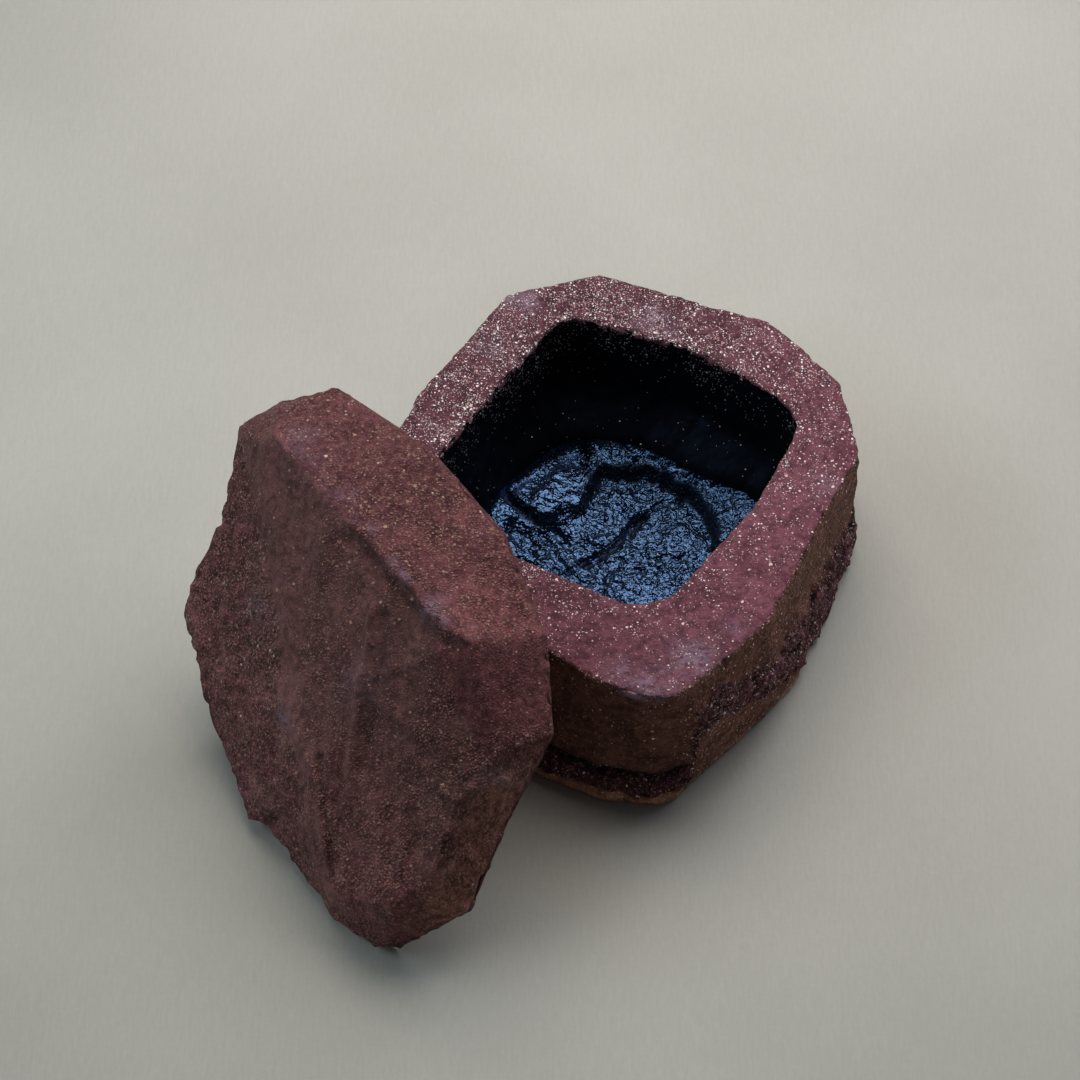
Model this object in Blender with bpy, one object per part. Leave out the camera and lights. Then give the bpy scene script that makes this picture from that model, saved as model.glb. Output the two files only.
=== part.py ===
# Hand-carved stoneware box with a loose faceted lid.
#
# The box stands on its flat base at the origin, with its cavity open upwards.
# The lid is off: it stands on the table on one of its long edges, beside the
# front left corner of the box, and leans back on the rim with the flat bottom
# of its locating boss.
#
# Metres, +Z up. The origin is the middle of the base, on the table.
# Dimensions below are in millimetres and are scaled on the way in.

import math

import bpy
import bmesh
from mathutils import Matrix, Vector

MM = 0.001

# ---------------------------------------------------------------- the box

BODY_HEIGHT = 28.0        # table to the cut rim

# Corners of the outer outline, counter-clockwise from the right-hand corner.
# rim: where the knife-cut facets meet the flat rim
# ledge: foot of the upper facets, how far it stands out in x and y, and its height
# groove: depth of the knife groove under the ledge
# base: the corner on the table
#         rim x   rim y   ledge dx  dy    z     groove  base x  base y
BODY_CORNERS = [
    (41.4,    4.9,   -0.3,  0.4, 11.5,   0.9,   41.6,    7.2),
    (38.8,   21.9,    1.0,  0.6, 10.5,   1.0,   40.4,   20.6),
    (32.8,   29.7,    0.9,  0.9, 11.0,   1.0,   32.6,   29.4),
    (26.9,   36.2,    0.8,  1.0, 11.5,   1.0,   26.4,   35.4),
    (12.7,   41.8,    0.3,  1.2, 12.5,   0.8,   12.8,   41.4),
    (-2.9,   47.9,   -0.1,  0.6, 12.0,   1.0,   -2.4,   46.0),
    (-19.0,  43.0,   -0.7,  0.8, 11.0,   1.0,  -17.8,   41.6),
    (-34.9,  18.7,   -1.2,  0.6, 12.5,   0.8,  -34.8,   18.4),
    (-38.9,   7.5,   -1.1,  0.1, 12.0,   1.0,  -38.8,    7.2),
    (-41.4,  -7.0,   -0.9, -0.3, 11.5,   1.0,  -40.6,   -7.2),
    (-34.0, -23.3,   -0.8, -0.8, 10.5,   1.1,  -33.2,  -24.0),
    (-12.3, -37.6,   -1.2, -4.2,  9.0,   1.1,  -13.2,  -43.4),
    (-3.8,  -44.3,   -0.4, -2.5,  8.8,   1.1,   -2.6,  -48.4),
    (4.5,   -47.9,    0.6, -0.8,  8.8,   1.1,    5.8,  -49.2),
    (8.8,   -47.2,    3.4,  0.6,  9.2,   1.0,    9.3,  -48.2),
    (10.2,  -46.0,    2.4,  0.2, 21.0,   0.2,   11.6,  -45.2),
    (18.1,  -38.7,    0.7, -0.5, 20.0,   0.2,   17.9,  -38.4),
    (24.0,  -32.2,    0.9, -0.2, 17.0,   0.2,   24.8,  -30.9),
    (29.1,  -21.5,    1.2, -0.9, 15.4,   0.3,   30.9,  -22.5),
    (34.9,   -8.2,    0.7, -0.4, 14.0,   0.6,   36.2,   -8.6),
]

GROOVE_DROP = 0.7         # the groove's deepest line, below the ledge
TIER_OUT = 0.5            # the rough lower band stands out again below it
TIER_DROP = 1.9
FOOT_HEIGHT = 1.0         # the bottom edge is cut back all round
FOOT_IN = 0.6

# The mouth: corners of a rounded square, each with its corner radius.
MOUTH_CORNERS = [
    (32.6,   14.1,  8.6),
    (14.7,   28.7, 22.0),
    (-9.5,   38.2,  7.5),
    (-37.4,  -6.1, 12.5),
    (5.4,   -30.6,  9.0),
    (22.9,   -6.6, 20.0),
]
# The cavity narrows downwards: height above the table and inset of the wall.
CAVITY_LEVELS = [
    (30.0, 0.0),
    (26.5, 0.2),
    (12.0, 3.0),
    (7.0,  4.8),
    (4.5,  7.6),
]

# ---------------------------------------------------------------- the lid
#
# Local frame: x along the edge that the lid stands on, y up the lid, z out of
# its top. z = 0 is the flat underside. The knife left a low edge all round
# (the girdle) and facets from there up to the broad top face (the crest).
#          girdle x  y     z      crest x   y     z
LID_CORNERS = [
    (0.0,    0.0,   3.5,    12.4,  17.0,  12.9),
    (3.8,    1.6,   3.5,    15.2,  14.6,  12.7),
    (13.6,  -0.6,   3.5,    19.2,  10.8,  12.2),
    (19.6,  -1.2,   3.5,    22.0,   7.0,  11.3),
    (23.8,  -2.4,   3.5,    24.6,   4.6,  10.4),
    (26.6,  -2.1,   3.5,    27.6,   4.8,  10.2),
    (33.0,  -1.2,   3.2,    32.0,   7.2,  10.5),
    (35.5,   0.5,   3.1,    35.2,   9.2,  10.7),
    (42.8,  13.6,   1.0,    38.5,  15.7,   9.4),
    (39.8,  29.7,   0.9,    36.2,  30.0,  11.4),
    (38.3,  45.6,   0.9,    35.9,  40.0,   8.6),
    (27.7,  57.3,   0.9,    23.5,  52.6,  14.0),
    (11.1,  66.0,   0.8,    11.1,  52.7,  14.0),
    (-7.0,  68.5,   0.8,    -7.7,  54.4,  13.6),
    (-17.0, 68.2,   0.8,   -18.0,  55.5,  13.5),
    (-31.3, 66.6,   1.2,   -24.9,  56.4,  13.1),
    (-38.1, 59.0,   2.8,   -29.6,  56.9,  12.2),
    (-42.2, 51.2,   3.5,   -31.0,  53.8,  11.4),
    (-35.7, 36.3,   3.5,   -21.8,  45.6,  12.2),
    (-34.1, 23.9,   3.5,   -12.1,  38.5,  12.9),
    (-31.8, 19.0,   3.5,    -7.5,  34.9,  13.1),
    (-21.7, 11.7,   3.5,     2.1,  24.2,  13.4),
]
LID_TOP = (10.0, 34.0, 14.2)      # highest point of the top face

BOSS_DEPTH = 8.0                 # locating boss under the lid
BOSS_CLEARANCE = 0.9             # to the mouth, all round
BOSS_TAPER = 5.0                 # its sides slope in by this much
BOSS_ROOT = 2.0                  # how far it is carried up into the slab

# Where the lid sits when it is closed: its own (1.75, 33.95) lies over
# (1.66, 2.45) of the box, turned by this angle.
CLOSED_TURN = math.radians(-39.5)
CLOSED_PIVOT = (1.75, 33.95)
CLOSED_AT = (1.66, 2.45)

# Where it leans now.
LEAN_AT = (-60.2, -51.9, 0.02)
LEAN_HEADING = math.radians(-47.75)   # direction of the standing edge
LEAN_TILT = math.radians(46.0)        # underside to the table


# ---------------------------------------------------------------- helpers

def clear_scene():
    for obj in list(bpy.data.objects):
        bpy.data.objects.remove(obj, do_unlink=True)


def inset_corners(corners, inset):
    """Move every side of a convex corner list inwards, and tighten the radii."""
    count = len(corners)
    lines = []
    for i in range(count):
        p = Vector(corners[i][:2])
        q = Vector(corners[(i + 1) % count][:2])
        d = (q - p).normalized()
        normal = Vector((-d.y, d.x))
        lines.append((p + normal * inset, d))
    result = []
    for i in range(count):
        p, d = lines[i - 1]
        q, e = lines[i]
        cross = d.x * e.y - d.y * e.x
        t = ((q.x - p.x) * e.y - (q.y - p.y) * e.x) / cross
        corner = p + d * t
        result.append((corner.x, corner.y, max(corners[i][2] - inset, 1.5)))
    return result


def rounded_outline(corners, steps):
    """Points around a convex corner list (x, y, radius), with true arcs."""
    points = []
    count = len(corners)
    for i in range(count):
        corner = Vector(corners[i][:2])
        before = (Vector(corners[i - 1][:2]) - corner).normalized()
        after = (Vector(corners[(i + 1) % count][:2]) - corner).normalized()
        half = before.angle(after) / 2.0
        radius = corners[i][2]
        reach = radius / math.tan(half)
        centre = corner + (before + after).normalized() * (radius / math.sin(half))
        start = corner + before * reach - centre
        end = corner + after * reach - centre
        a0 = math.atan2(start.y, start.x)
        sweep = (math.atan2(end.y, end.x) - a0) % (2.0 * math.pi)
        for k in range(steps + 1):
            a = a0 + sweep * k / steps
            points.append((centre.x + radius * math.cos(a),
                           centre.y + radius * math.sin(a)))
    return points


def loft(bm, rings, cap_first=True, cap_last=True):
    """Join rings of equal length, counter-clockwise from above and rising."""
    loops = [[bm.verts.new((x * MM, y * MM, z * MM)) for x, y, z in ring]
             for ring in rings]
    count = len(loops[0])
    for low, high in zip(loops[:-1], loops[1:]):
        for i in range(count):
            j = (i + 1) % count
            bm.faces.new((low[i], low[j], high[j], high[i]))
    if cap_first:
        bm.faces.new(tuple(reversed(loops[0])))
    if cap_last:
        bm.faces.new(tuple(loops[-1]))
    return loops


def outward(bm):
    bmesh.ops.triangulate(bm, faces=[f for f in bm.faces if len(f.verts) == 4])
    bmesh.ops.recalc_face_normals(bm, faces=bm.faces)


def make_object(name, bm, material=None):
    mesh = bpy.data.meshes.new(name)
    bm.to_mesh(mesh)
    bm.free()
    obj = bpy.data.objects.new(name, mesh)
    bpy.context.scene.collection.objects.link(obj)
    if material:
        mesh.materials.append(material)
    return obj


def stoneware(name, colour, roughness):
    material = bpy.data.materials.new(name)
    material.use_nodes = True
    shader = material.node_tree.nodes["Principled BSDF"]
    shader.inputs["Base Color"].default_value = (*colour, 1.0)
    shader.inputs["Roughness"].default_value = roughness
    shader.inputs["Metallic"].default_value = 0.0
    return material


def add_boolean(obj, other, operation):
    other.hide_render = True
    other.display_type = 'WIRE'
    cut = obj.modifiers.new(other.name, 'BOOLEAN')
    cut.operation = operation
    cut.solver = 'EXACT'
    cut.object = other


# ---------------------------------------------------------------- box body

def outline_normals(points):
    """Outward direction at every corner of a counter-clockwise outline."""
    result = []
    count = len(points)
    for i in range(count):
        a = Vector(points[i - 1])
        b = Vector(points[(i + 1) % count])
        d = (b - a).normalized()
        result.append(Vector((d.y, -d.x)))
    return result


def body_rings():
    rim = [(c[0], c[1]) for c in BODY_CORNERS]
    out = outline_normals(rim)
    ledge, groove, tier, foot, base = [], [], [], [], []
    for c, n in zip(BODY_CORNERS, out):
        lx, ly, lz, depth = c[0] + c[2], c[1] + c[3], c[4], c[5]
        bx, by = c[6], c[7]
        ledge.append((lx, ly, lz))
        groove.append((lx - n.x * depth, ly - n.y * depth, lz - GROOVE_DROP))
        tier.append((lx + n.x * TIER_OUT, ly + n.y * TIER_OUT, lz - TIER_DROP))
        foot.append((bx, by, FOOT_HEIGHT))
        base.append((bx - n.x * FOOT_IN, by - n.y * FOOT_IN, 0.0))
    top = [(x, y, BODY_HEIGHT) for x, y in rim]
    return [base, foot, tier, groove, ledge, top]


def build_body():
    bm = bmesh.new()
    loft(bm, body_rings())
    outward(bm)
    body = make_object("box_body", bm,
                       stoneware("carved_red_stoneware", (0.135, 0.058, 0.060), 0.85))
    bm = bmesh.new()
    rings = []
    for height, inset in reversed(CAVITY_LEVELS):
        outline = rounded_outline(inset_corners(MOUTH_CORNERS, inset), 8)
        rings.append([(x, y, height) for x, y in outline])
    loft(bm, rings)
    outward(bm)
    cavity = make_object("cavity_cutter", bm)
    add_boolean(body, cavity, 'DIFFERENCE')
    return body


# ---------------------------------------------------------------- lid

def to_lid(point):
    """A point of the closed box, in the lid's own frame."""
    dx = point[0] - CLOSED_AT[0]
    dy = point[1] - CLOSED_AT[1]
    c, s = math.cos(CLOSED_TURN), math.sin(CLOSED_TURN)
    return (c * dx + s * dy + CLOSED_PIVOT[0],
            -s * dx + c * dy + CLOSED_PIVOT[1])


def lean_matrix():
    along = Vector((math.cos(LEAN_HEADING), math.sin(LEAN_HEADING), 0.0))
    level = Vector((-along.y, along.x, 0.0))
    up = level * math.cos(LEAN_TILT) + Vector((0.0, 0.0, math.sin(LEAN_TILT)))
    out = along.cross(up)
    turn = Matrix((along, up, out)).transposed().to_4x4()
    return Matrix.Translation(Vector(LEAN_AT) * MM) @ turn


def build_lid():
    bm = bmesh.new()
    # The underside follows the girdle, but never passes the standing edge.
    under = [(c[0], max(c[1], 0.0), 0.0) for c in LID_CORNERS]
    girdle = [(c[0], c[1], c[2]) for c in LID_CORNERS]
    crest = [(c[3], c[4], c[5]) for c in LID_CORNERS]
    loops = loft(bm, [under, girdle, crest], cap_last=False)
    peak = bm.verts.new(tuple(v * MM for v in LID_TOP))
    rim = loops[-1]
    for i in range(len(rim)):
        bm.faces.new((rim[i], rim[(i + 1) % len(rim)], peak))
    outward(bm)
    lid = make_object("lid", bm,
                      stoneware("carved_brown_stoneware", (0.062, 0.036, 0.033), 0.8))
    bm = bmesh.new()
    rings = []
    for height, inset in ((-BOSS_DEPTH, BOSS_CLEARANCE + BOSS_TAPER),
                          (0.0, BOSS_CLEARANCE),
                          (BOSS_ROOT, BOSS_CLEARANCE + 1.2)):
        outline = rounded_outline(inset_corners(MOUTH_CORNERS, inset), 8)
        rings.append([to_lid(p) + (height,) for p in outline])
    loft(bm, rings)
    outward(bm)
    boss = make_object("boss_blank", bm)
    boss.parent = lid
    add_boolean(lid, boss, 'UNION')
    lid.matrix_world = lean_matrix()
    return lid


clear_scene()
build_body()
build_lid()
bpy.context.view_layer.update()
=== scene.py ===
import math

import bpy
import numpy as np
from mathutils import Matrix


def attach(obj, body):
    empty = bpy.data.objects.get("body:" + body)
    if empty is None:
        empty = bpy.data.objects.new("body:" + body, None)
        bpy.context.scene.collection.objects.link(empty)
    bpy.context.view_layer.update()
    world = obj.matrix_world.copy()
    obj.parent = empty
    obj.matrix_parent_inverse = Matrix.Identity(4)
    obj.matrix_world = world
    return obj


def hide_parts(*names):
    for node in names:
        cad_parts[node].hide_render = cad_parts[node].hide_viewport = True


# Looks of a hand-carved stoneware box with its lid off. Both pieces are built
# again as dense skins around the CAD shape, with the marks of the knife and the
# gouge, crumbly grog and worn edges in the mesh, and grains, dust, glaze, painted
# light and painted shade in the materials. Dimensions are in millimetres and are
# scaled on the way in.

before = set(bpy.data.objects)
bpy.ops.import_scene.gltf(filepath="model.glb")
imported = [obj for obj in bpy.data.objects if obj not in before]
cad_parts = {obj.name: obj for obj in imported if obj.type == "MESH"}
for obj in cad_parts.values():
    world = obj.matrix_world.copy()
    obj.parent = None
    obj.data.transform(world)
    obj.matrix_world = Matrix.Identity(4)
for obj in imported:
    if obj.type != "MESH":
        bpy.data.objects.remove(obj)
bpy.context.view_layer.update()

MM = 0.001

# ---------------------------------------------------------------- shape data

BODY_HEIGHT = 28.0
# rim x, rim y, ledge dx, ledge dy, ledge z, groove depth, base x, base y
BODY_CORNERS = [
    (41.4,    4.9,   -0.3,  0.4, 11.5,   0.9,   41.6,    7.2),
    (38.8,   21.9,    1.0,  0.6, 10.5,   1.0,   40.4,   20.6),
    (32.8,   29.7,    0.9,  0.9, 11.0,   1.0,   32.6,   29.4),
    (26.9,   36.2,    0.8,  1.0, 11.5,   1.0,   26.4,   35.4),
    (12.7,   41.8,    0.3,  1.2, 12.5,   0.8,   12.8,   41.4),
    (-2.9,   47.9,   -0.1,  0.6, 12.0,   1.0,   -2.4,   46.0),
    (-19.0,  43.0,   -0.7,  0.8, 11.0,   1.0,  -17.8,   41.6),
    (-34.9,  18.7,   -1.2,  0.6, 12.5,   0.8,  -34.8,   18.4),
    (-38.9,   7.5,   -1.1,  0.1, 12.0,   1.0,  -38.8,    7.2),
    (-41.4,  -7.0,   -0.9, -0.3, 11.5,   1.0,  -40.6,   -7.2),
    (-34.0, -23.3,   -0.8, -0.8, 10.5,   1.1,  -33.2,  -24.0),
    (-12.3, -37.6,   -1.2, -4.2,  9.0,   1.1,  -13.2,  -43.4),
    (-3.8,  -44.3,   -0.4, -2.5,  8.8,   1.1,   -2.6,  -48.4),
    (4.5,   -47.9,    0.6, -0.8,  8.8,   1.1,    5.8,  -49.2),
    (8.8,   -47.2,    3.4,  0.6,  9.2,   1.0,    9.3,  -48.2),
    (10.2,  -46.0,    2.4,  0.2, 21.0,   0.2,   11.6,  -45.2),
    (18.1,  -38.7,    0.7, -0.5, 20.0,   0.2,   17.9,  -38.4),
    (24.0,  -32.2,    0.9, -0.2, 17.0,   0.2,   24.8,  -30.9),
    (29.1,  -21.5,    1.2, -0.9, 15.4,   0.3,   30.9,  -22.5),
    (34.9,   -8.2,    0.7, -0.4, 14.0,   0.6,   36.2,   -8.6),
]
GROOVE_DROP = 0.7
TIER_OUT = 0.5
TIER_DROP = 1.9
FOOT_HEIGHT = 1.0
FOOT_IN = 0.6

# Height of the top and bottom of the band the knife left rough, per corner.
ROUGH_BAND = [
    (12.4, 0.0), (11.0, 0.0), (11.2, 0.0), (11.5, 0.5), (12.6, 2.0),
    (12.0, 2.0), (11.0, 0.0), (12.6, 0.0), (12.0, 0.0), (11.4, 0.0),
    (10.2, 1.0), (8.4, 3.0), (8.2, 3.0), (8.2, 3.2), (9.0, 3.4),
    (23.6, 15.0), (21.6, 13.5), (17.0, 9.0), (15.8, 4.0), (14.8, 0.0),
]

MOUTH_CORNERS = [
    (32.6,   14.1,  8.6),
    (14.7,   28.7, 22.0),
    (-9.5,   38.2,  7.5),
    (-37.4,  -6.1, 12.5),
    (5.4,   -30.6,  9.0),
    (22.9,   -6.6, 20.0),
]
MOUTH_CENTRE = (0.5, 2.5)
# The cavity's wall from the rim down: height and inset.
CAVITY_WALL = [(28.0, 0.0), (26.5, 0.2), (12.0, 3.0), (7.0, 4.8), (4.5, 7.6)]

# girdle x, y, z and crest x, y, z in the lid's own frame
LID_CORNERS = [
    (0.0,    0.0,   3.5,    12.4,  17.0,  12.9),
    (3.8,    1.6,   3.5,    15.2,  14.6,  12.7),
    (13.6,  -0.6,   3.5,    19.2,  10.8,  12.2),
    (19.6,  -1.2,   3.5,    22.0,   7.0,  11.3),
    (23.8,  -2.4,   3.5,    24.6,   4.6,  10.4),
    (26.6,  -2.1,   3.5,    27.6,   4.8,  10.2),
    (33.0,  -1.2,   3.2,    32.0,   7.2,  10.5),
    (35.5,   0.5,   3.1,    35.2,   9.2,  10.7),
    (42.8,  13.6,   1.0,    38.5,  15.7,   9.4),
    (39.8,  29.7,   0.9,    36.2,  30.0,  11.4),
    (38.3,  45.6,   0.9,    35.9,  40.0,   8.6),
    (27.7,  57.3,   0.9,    23.5,  52.6,  14.0),
    (11.1,  66.0,   0.8,    11.1,  52.7,  14.0),
    (-7.0,  68.5,   0.8,    -7.7,  54.4,  13.6),
    (-17.0, 68.2,   0.8,   -18.0,  55.5,  13.5),
    (-31.3, 66.6,   1.2,   -24.9,  56.4,  13.1),
    (-38.1, 59.0,   2.8,   -29.6,  56.9,  12.2),
    (-42.2, 51.2,   3.5,   -31.0,  53.8,  11.4),
    (-35.7, 36.3,   3.5,   -21.8,  45.6,  12.2),
    (-34.1, 23.9,   3.5,   -12.1,  38.5,  12.9),
    (-31.8, 19.0,   3.5,    -7.5,  34.9,  13.1),
    (-21.7, 11.7,   3.5,     2.1,  24.2,  13.4),
]
LID_TOP = (10.0, 34.0, 14.2)
LID_CENTRE = (1.75, 33.95)
BOSS_DEPTH = 8.0
BOSS_CLEARANCE = 0.9
BOSS_TAPER = 5.0
CLOSED_TURN = math.radians(-39.5)
CLOSED_PIVOT = (1.75, 33.95)
CLOSED_AT = (1.66, 2.45)
LEAN_AT = (-60.2, -51.9, 0.02)
LEAN_HEADING = math.radians(-47.75)
LEAN_TILT = math.radians(46.0)

# The foot of the cavity's wall, where the gouge turned up into it.
FLOOR_OUTLINE = [
    (24.9, 10.0), (22.8, 12.2), (18.0, 14.6), (14.1, 16.8), (9.0, 20.4), (4.8, 23.0),
    (-1.1, 24.6), (-7.2, 25.4), (-10.2, 24.2), (-15.5, 18.6), (-20.4, 13.6), (-22.2, 10.0),
    (-23.8, 4.0), (-24.0, -3.0), (-20.0, -9.0), (-9.0, -16.0), (-1.0, -20.6), (4.5, -21.6),
    (9.5, -17.0), (15.0, -9.0), (20.0, -1.5), (24.0, 5.0),
]
# Marks in the cavity's floor, in the box's frame: the step from the ledge down
# to the deeper middle, the bead along the wall's foot, ridges and grooves with
# their height or depth and width.
LEDGE_EDGE = [
    (17.6, 4.8), (17.2, 7.7), (16.1, 11.2), (14.0, 14.0), (11.4, 16.1), (8.8, 18.0),
    (5.3, 19.8), (1.7, 20.1), (-1.8, 20.3), (-3.8, 18.7), (-4.5, 15.4), (-5.8, 12.8),
    (-8.1, 11.0), (-10.7, 9.4), (-13.2, 8.7), (-15.9, 9.8), (-17.8, 10.0), (-18.7, 7.5),
    (-17.7, 3.6), (-16.4, 0.6), (-14.0, -5.0), (-8.0, -13.0), (-2.0, -17.0), (4.0, -19.0),
    (9.0, -14.0), (14.0, -6.0), (17.0, 0.0),
]
OUTER_LIP = [
    (-19.0, 12.8), (-16.2, 15.1), (-14.3, 18.6), (-11.6, 21.7), (-9.3, 23.3), (-7.0, 24.5),
    (-3.6, 24.0), (-0.6, 23.6), (2.3, 22.8), (5.3, 21.9), (7.9, 20.7), (10.2, 19.5),
    (12.4, 17.3), (14.7, 15.6), (17.4, 13.9), (20.2, 12.6), (22.0, 10.8),
]
FLOOR_RIDGES = [
    ([(-13.4, 12.4), (-11.8, 15.7), (-10.7, 18.0), (-9.5, 19.9)], 0.55, 1.20),
    ([(-17.4, 12.6), (-14.0, 10.7), (-10.8, 11.2)], 0.35, 1.0),
]
FLOOR_GROOVES = [
    ([(-5.8, 0.2), (-5.0, 0.9), (-2.9, 2.5), (-0.9, 4.1), (0.8, 5.9), (2.3, 7.5), (3.5, 9.8), (4.8, 11.2)], 1.25, 0.85),
    ([(4.8, 11.2), (6.4, 13.1), (8.2, 14.5), (11.4, 14.7)], 0.50, 0.45),
    ([(5.8, 0.7), (7.1, 1.8), (8.9, 2.3), (10.2, 1.1), (11.7, 2.3), (13.4, 3.2)], 0.55, 0.40),
    ([(8.8, 1.1), (9.1, -1.2), (9.6, -3.2)], 0.45, 0.40),
    ([(4.1, -1.2), (5.4, -2.7), (6.5, -3.6)], 0.45, 0.45),
    ([(14.8, 1.0), (12.8, -0.8), (11.5, -2.1)], 0.40, 0.50),
    ([(-13.2, 8.7), (-15.9, 9.8), (-18.3, 12.1), (-20.2, 14.6)], 0.90, 0.70),
    ([(-6.6, 21.6), (-4.8, 20.6), (-2.6, 19.4)], 0.60, 0.80),
    ([(-16.8, 6.2), (-13.0, 3.0), (-8.6, 1.6)], 0.40, 0.60),
    ([(-15.0, 2.6), (-11.0, -0.6), (-6.6, -2.4)], 0.45, 0.60),
    ([(-12.0, -1.6), (-7.4, -4.2), (-2.6, -5.4)], 0.45, 0.60),
]

# Marks on the lid, in its own frame.
RED_EDGE = [
    (-42.0, 62.0), (-36.0, 58.6), (-29.0, 56.6), (-24.4, 56.3), (-17.9, 55.5),
    (-12.3, 55.0), (-7.7, 54.3), (-3.4, 54.2), (2.4, 53.4), (6.8, 52.8),
    (10.9, 52.3), (14.4, 51.4), (18.2, 51.5), (23.0, 52.7), (26.9, 56.0),
    (30.4, 59.7), (33.9, 62.5),
]
DARK_RED = [(17.7, 49.0), (33.7, 61.5), (45.0, 51.0), (43.3, 43.0), (36.0, 38.5), (29.0, 41.0)]
LID_RIDGES = [
    ([(5.3, 46.4), (8.2, 41.6), (13.3, 30.9), (16.5, 23.9), (19.8, 18.6)], 0.85, 0.9),
    ([(-4.0, 24.9), (4.2, 21.4), (15.1, 15.5), (24.3, 5.5)], 0.45, 1.3),
    ([(22.6, 27.9), (25.6, 26.9), (28.9, 24.5)], 0.30, 0.7),
    ([(36.4, 33.2), (37.7, 36.3), (38.7, 39.8)], 0.40, 0.7),
]
LID_GROOVES = [
    ([(11.2, 20.9), (15.8, 15.6), (20.6, 10.1), (24.1, 5.3)], 0.65, 0.65),
    ([(-5.0, 53.0), (2.4, 51.9), (6.8, 51.2), (10.9, 50.6), (14.4, 49.8), (18.2, 49.8), (22.0, 50.8)], 0.75, 1.6),
    ([(8.0, 46.6), (11.0, 41.2), (15.8, 31.6), (19.0, 24.6)], 0.60, 1.1),
]


# ---------------------------------------------------------------- noise

def lattice(i, j, k, seed):
    """A repeatable random number from 0 to 1 for every lattice point."""
    with np.errstate(over="ignore"):
        h = (i.astype(np.int64).astype(np.uint32) * np.uint32(0x8DA6B343)
             ^ j.astype(np.int64).astype(np.uint32) * np.uint32(0xD8163841)
             ^ k.astype(np.int64).astype(np.uint32) * np.uint32(0xCB1AB31F)
             ^ np.uint32((seed * 2654435761) % 4294967296))
        h = h ^ (h >> np.uint32(15))
        h = h * np.uint32(0x2C1B3C6D)
        h = h ^ (h >> np.uint32(12))
        h = h * np.uint32(0x297A2D39)
        h = h ^ (h >> np.uint32(15))
    return h.astype(float) / 4294967295.0


def noise(p, size, seed, octaves=1):
    """Smooth noise from -1 to 1 at points p, with blobs of about that size."""
    total = np.zeros(len(p))
    weight = 0.0
    gain = 1.0
    for o in range(octaves):
        q = p * (2.0 ** o / np.asarray(size, float)) + 17.3 * o
        base = np.floor(q)
        f = q - base
        f = f * f * f * (f * (f * 6.0 - 15.0) + 10.0)
        value = np.zeros(len(p))
        for dx in (0, 1):
            wx = f[:, 0] if dx else 1.0 - f[:, 0]
            for dy in (0, 1):
                wy = f[:, 1] if dy else 1.0 - f[:, 1]
                for dz in (0, 1):
                    wz = f[:, 2] if dz else 1.0 - f[:, 2]
                    value += wx * wy * wz * lattice(base[:, 0] + dx, base[:, 1] + dy,
                                                    base[:, 2] + dz, seed + 31 * o)
        total += gain * (value * 2.0 - 1.0)
        weight += gain
        gain *= 0.5
    return total / weight * 1.5


def cells(p, size, seed):
    """Distance, in cells, to the nearest of scattered points, and its own random number."""
    q = p / size
    base = np.floor(q)
    best = np.full(len(p), 9.0)
    own = np.zeros(len(p))
    for dx in (-1, 0, 1):
        for dy in (-1, 0, 1):
            for dz in (-1, 0, 1):
                i, j, k = base[:, 0] + dx, base[:, 1] + dy, base[:, 2] + dz
                d = np.sqrt((i + lattice(i, j, k, seed) - q[:, 0]) ** 2
                            + (j + lattice(i, j, k, seed + 1) - q[:, 1]) ** 2
                            + (k + lattice(i, j, k, seed + 2) - q[:, 2]) ** 2)
                near = d < best
                best = np.where(near, d, best)
                own = np.where(near, lattice(i, j, k, seed + 3), own)
    return best, own


def ease(x, low, high):
    t = np.clip((x - low) / (high - low), 0.0, 1.0)
    return t * t * (3.0 - 2.0 * t)


def line_distance(x, y, points):
    best = np.full(np.shape(x), 1e9)
    for (x0, y0), (x1, y1) in zip(points[:-1], points[1:]):
        dx, dy = x1 - x0, y1 - y0
        t = np.clip(((x - x0) * dx + (y - y0) * dy) / (dx * dx + dy * dy), 0.0, 1.0)
        best = np.minimum(best, np.hypot(x - x0 - t * dx, y - y0 - t * dy))
    return best


def inside(x, y, polygon):
    result = np.zeros(np.shape(x), bool)
    for (x0, y0), (x1, y1) in zip(polygon, polygon[1:] + polygon[:1]):
        if y0 != y1:
            crosses = (y0 > y) != (y1 > y)
            at = x0 + (y - y0) * (x1 - x0) / (y1 - y0)
            result ^= crosses & (x < at)
    return result


def patch(x, y, polygon):
    """Distance to a polygon's edge, above zero inside it."""
    d = line_distance(x, y, polygon + polygon[:1])
    return np.where(inside(x, y, polygon), d, -d)


def spot(x, y, cx, cy, radius):
    return np.exp(-((x - cx) ** 2 + (y - cy) ** 2) / (radius * radius))


# ---------------------------------------------------------------- outlines

def inset_corners(corners, inset):
    count = len(corners)
    lines = []
    for i in range(count):
        p = np.array(corners[i][:2])
        q = np.array(corners[(i + 1) % count][:2])
        d = (q - p) / np.linalg.norm(q - p)
        lines.append((p + np.array((-d[1], d[0])) * inset, d))
    result = []
    for i in range(count):
        p, d = lines[i - 1]
        q, e = lines[i]
        t = ((q[0] - p[0]) * e[1] - (q[1] - p[1]) * e[0]) / (d[0] * e[1] - d[1] * e[0])
        c = p + d * t
        result.append((c[0], c[1], max(corners[i][2] - inset, 1.5)))
    return result


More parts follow.
